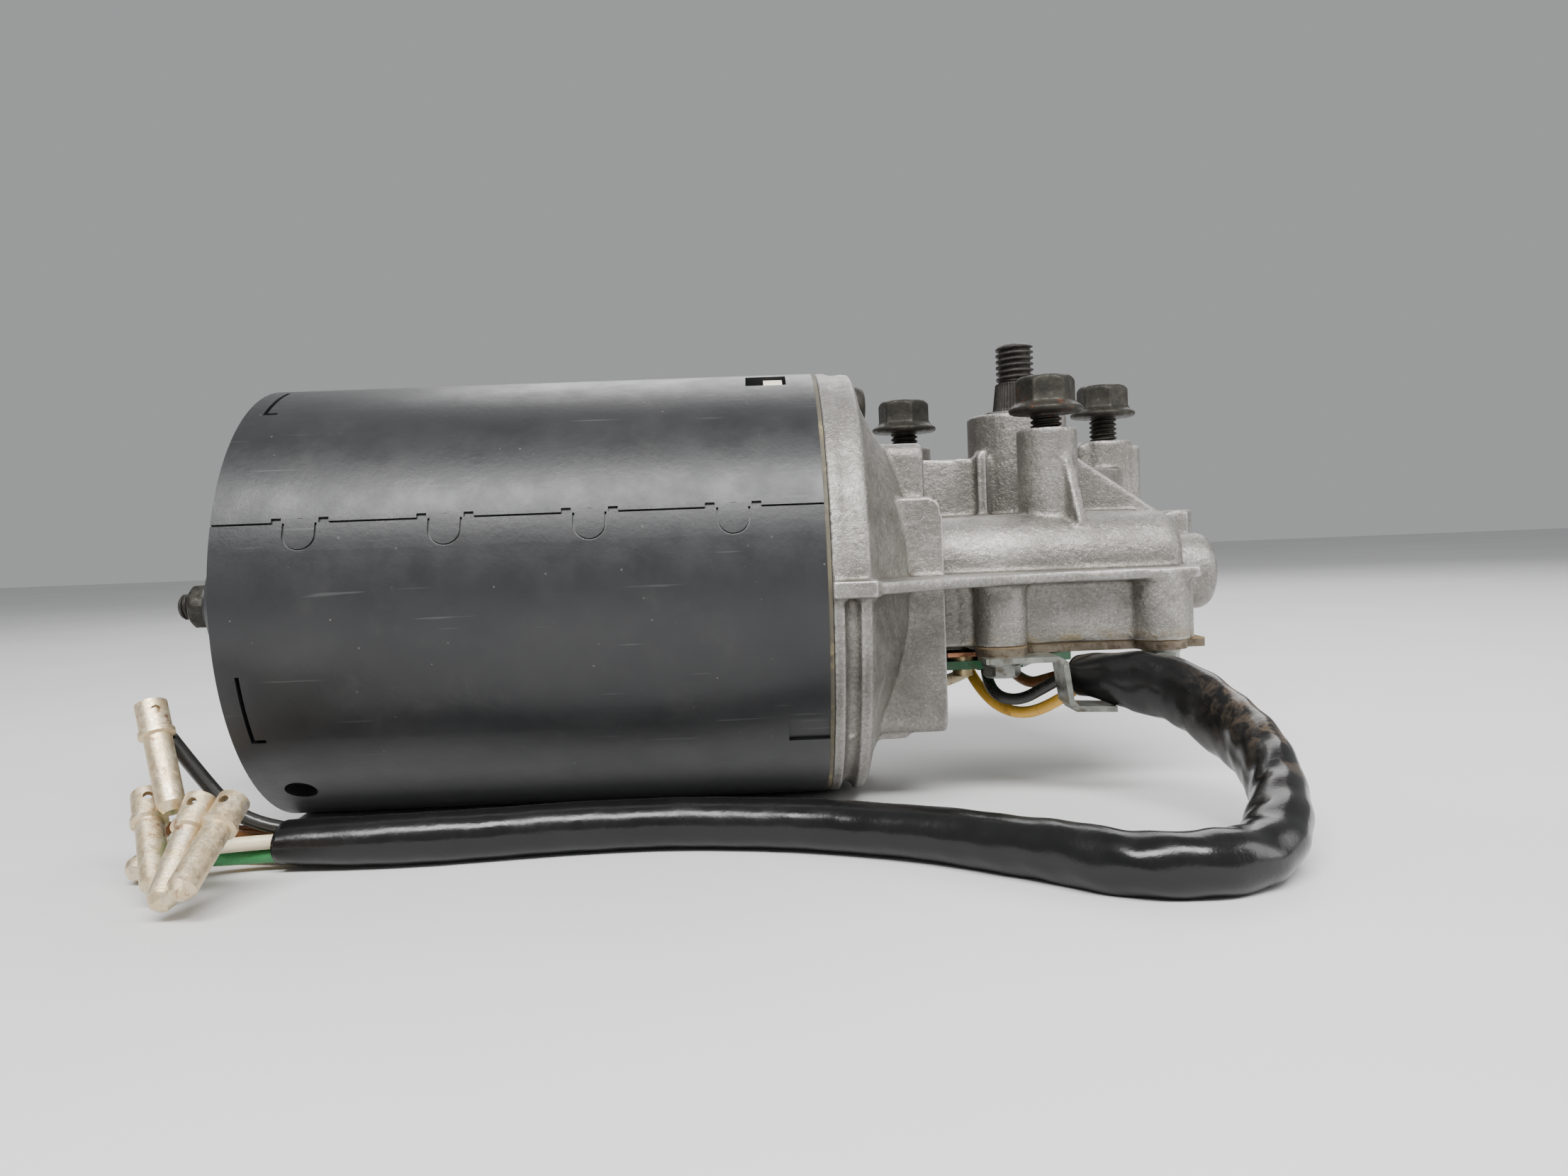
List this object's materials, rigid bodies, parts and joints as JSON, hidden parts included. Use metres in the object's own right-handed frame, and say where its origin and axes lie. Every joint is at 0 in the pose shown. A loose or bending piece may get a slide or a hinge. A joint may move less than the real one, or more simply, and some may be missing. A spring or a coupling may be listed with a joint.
{
  "type": "worm gear motor",
  "caption": "Brushed worm gear motor: cylindrical steel yoke, die-cast right-angle gearbox, threaded output shaft, mounting bosses with bolts, sleeved cable.",
  "frame": {"origin": "on the output shaft's axis, level with the tops of the three mounting bosses", "axes": "+Z along the output shaft out of its threaded end, +X along the motor from its yoke towards the gearbox"},
  "size_m": [0.1989, 0.134, 0.0882],
  "materials": {
    "black_paint": "satin black paint with a fine grain",
    "cast_aluminium": "rough die-cast aluminium, stained",
    "steel": "plain machined steel",
    "zinc_steel": "zinc-plated steel",
    "dark_steel": "phosphated dark steel with rust",
    "cover_steel": "dull pressed steel",
    "copper": "bare copper",
    "brass": "tarnished brass",
    "bronze": "sintered oil bronze",
    "ferrite": "dark ferrite",
    "laminations": "stacked electrical steel",
    "enamelled_wire": "enamelled copper wire",
    "carbon": "carbon brush",
    "phenolic": "brown phenolic",
    "cream_plastic": "cream plastic",
    "nylon": "white acetal",
    "board": "green lacquered board",
    "gasket": "black gasket",
    "paper_gasket": "oiled paper gasket",
    "sleeve": "glossy black vinyl sleeve",
    "wire_black": "black vinyl",
    "wire_cream": "cream vinyl",
    "wire_green": "green vinyl",
    "wire_brown": "brown vinyl",
    "wire_yellow": "yellow vinyl",
    "tinned_brass": "tarnished tinned brass"
  },
  "bodies": {
    "housing": {"yoke_tube": "black_paint", "rear_end_cover": "black_paint", "rear_bearing": "bronze", "rear_bearing_clip": "steel", "end_float_screw": "dark_steel", "end_float_lock_nut": "dark_steel", "field_magnets": "ferrite", "magnet_clips": "steel", "brush_plate": "cream_plastic", "brush_holders": "brass", "carbon_brushes": "carbon", "brush_springs": "steel", "front_bearing": "bronze", "worm_end_bush": "bronze", "thrust_ball": "steel", "output_bush": "bronze", "output_seal_ring": "gasket", "gear_housing": "cast_aluminium", "flange_seal": "gasket", "housing_screws": "dark_steel", "end_screw": "dark_steel", "gear_cover_plate": "cover_steel", "cover_gasket": "paper_gasket", "cover_screws": "zinc_steel", "switch_board": "board", "contact_rivets": "brass", "contact_lug": "copper", "park_contacts": "brass", "cable_clamp": "zinc_steel", "clamp_screw": "zinc_steel", "mounting_bolts": "dark_steel", "cable_sleeve": "sleeve", "wire_black": "wire_black", "wire_cream": "wire_cream", "wire_green": "wire_green", "wire_brown": "wire_brown", "wire_yellow": "wire_yellow", "lead_black": "wire_black", "lead_yellow": "wire_yellow", "lead_brown": "wire_brown", "lead_cream": "wire_cream", "bullet_terminals": "tinned_brass"},
    "armature": {"armature_shaft": "steel", "armature_core": "laminations", "armature_windings": "enamelled_wire", "commutator_bars": "copper", "commutator_hub": "phenolic", "thrust_washers": "phenolic"},
    "output": {"worm_wheel": "nylon", "park_contact_disc": "brass", "output_shaft": "dark_steel", "output_circlip": "steel", "output_shim": "steel"}
  },
  "joints": [
    {"name": "armature_spin", "type": "hinge", "parent": "housing", "child": "armature", "pos_m": [-0.0454, -0.024, -0.0279], "axis": [1, 0, 0], "continuous": true},
    {"name": "output_spin", "type": "hinge", "parent": "housing", "child": "output", "pos_m": [0, 0, 0], "axis": [0, 0, 1], "continuous": true}
  ],
  "couplings": [
    {"joint": "output_spin", "follows": "armature_spin", "ratio": -0.025}
  ]
}
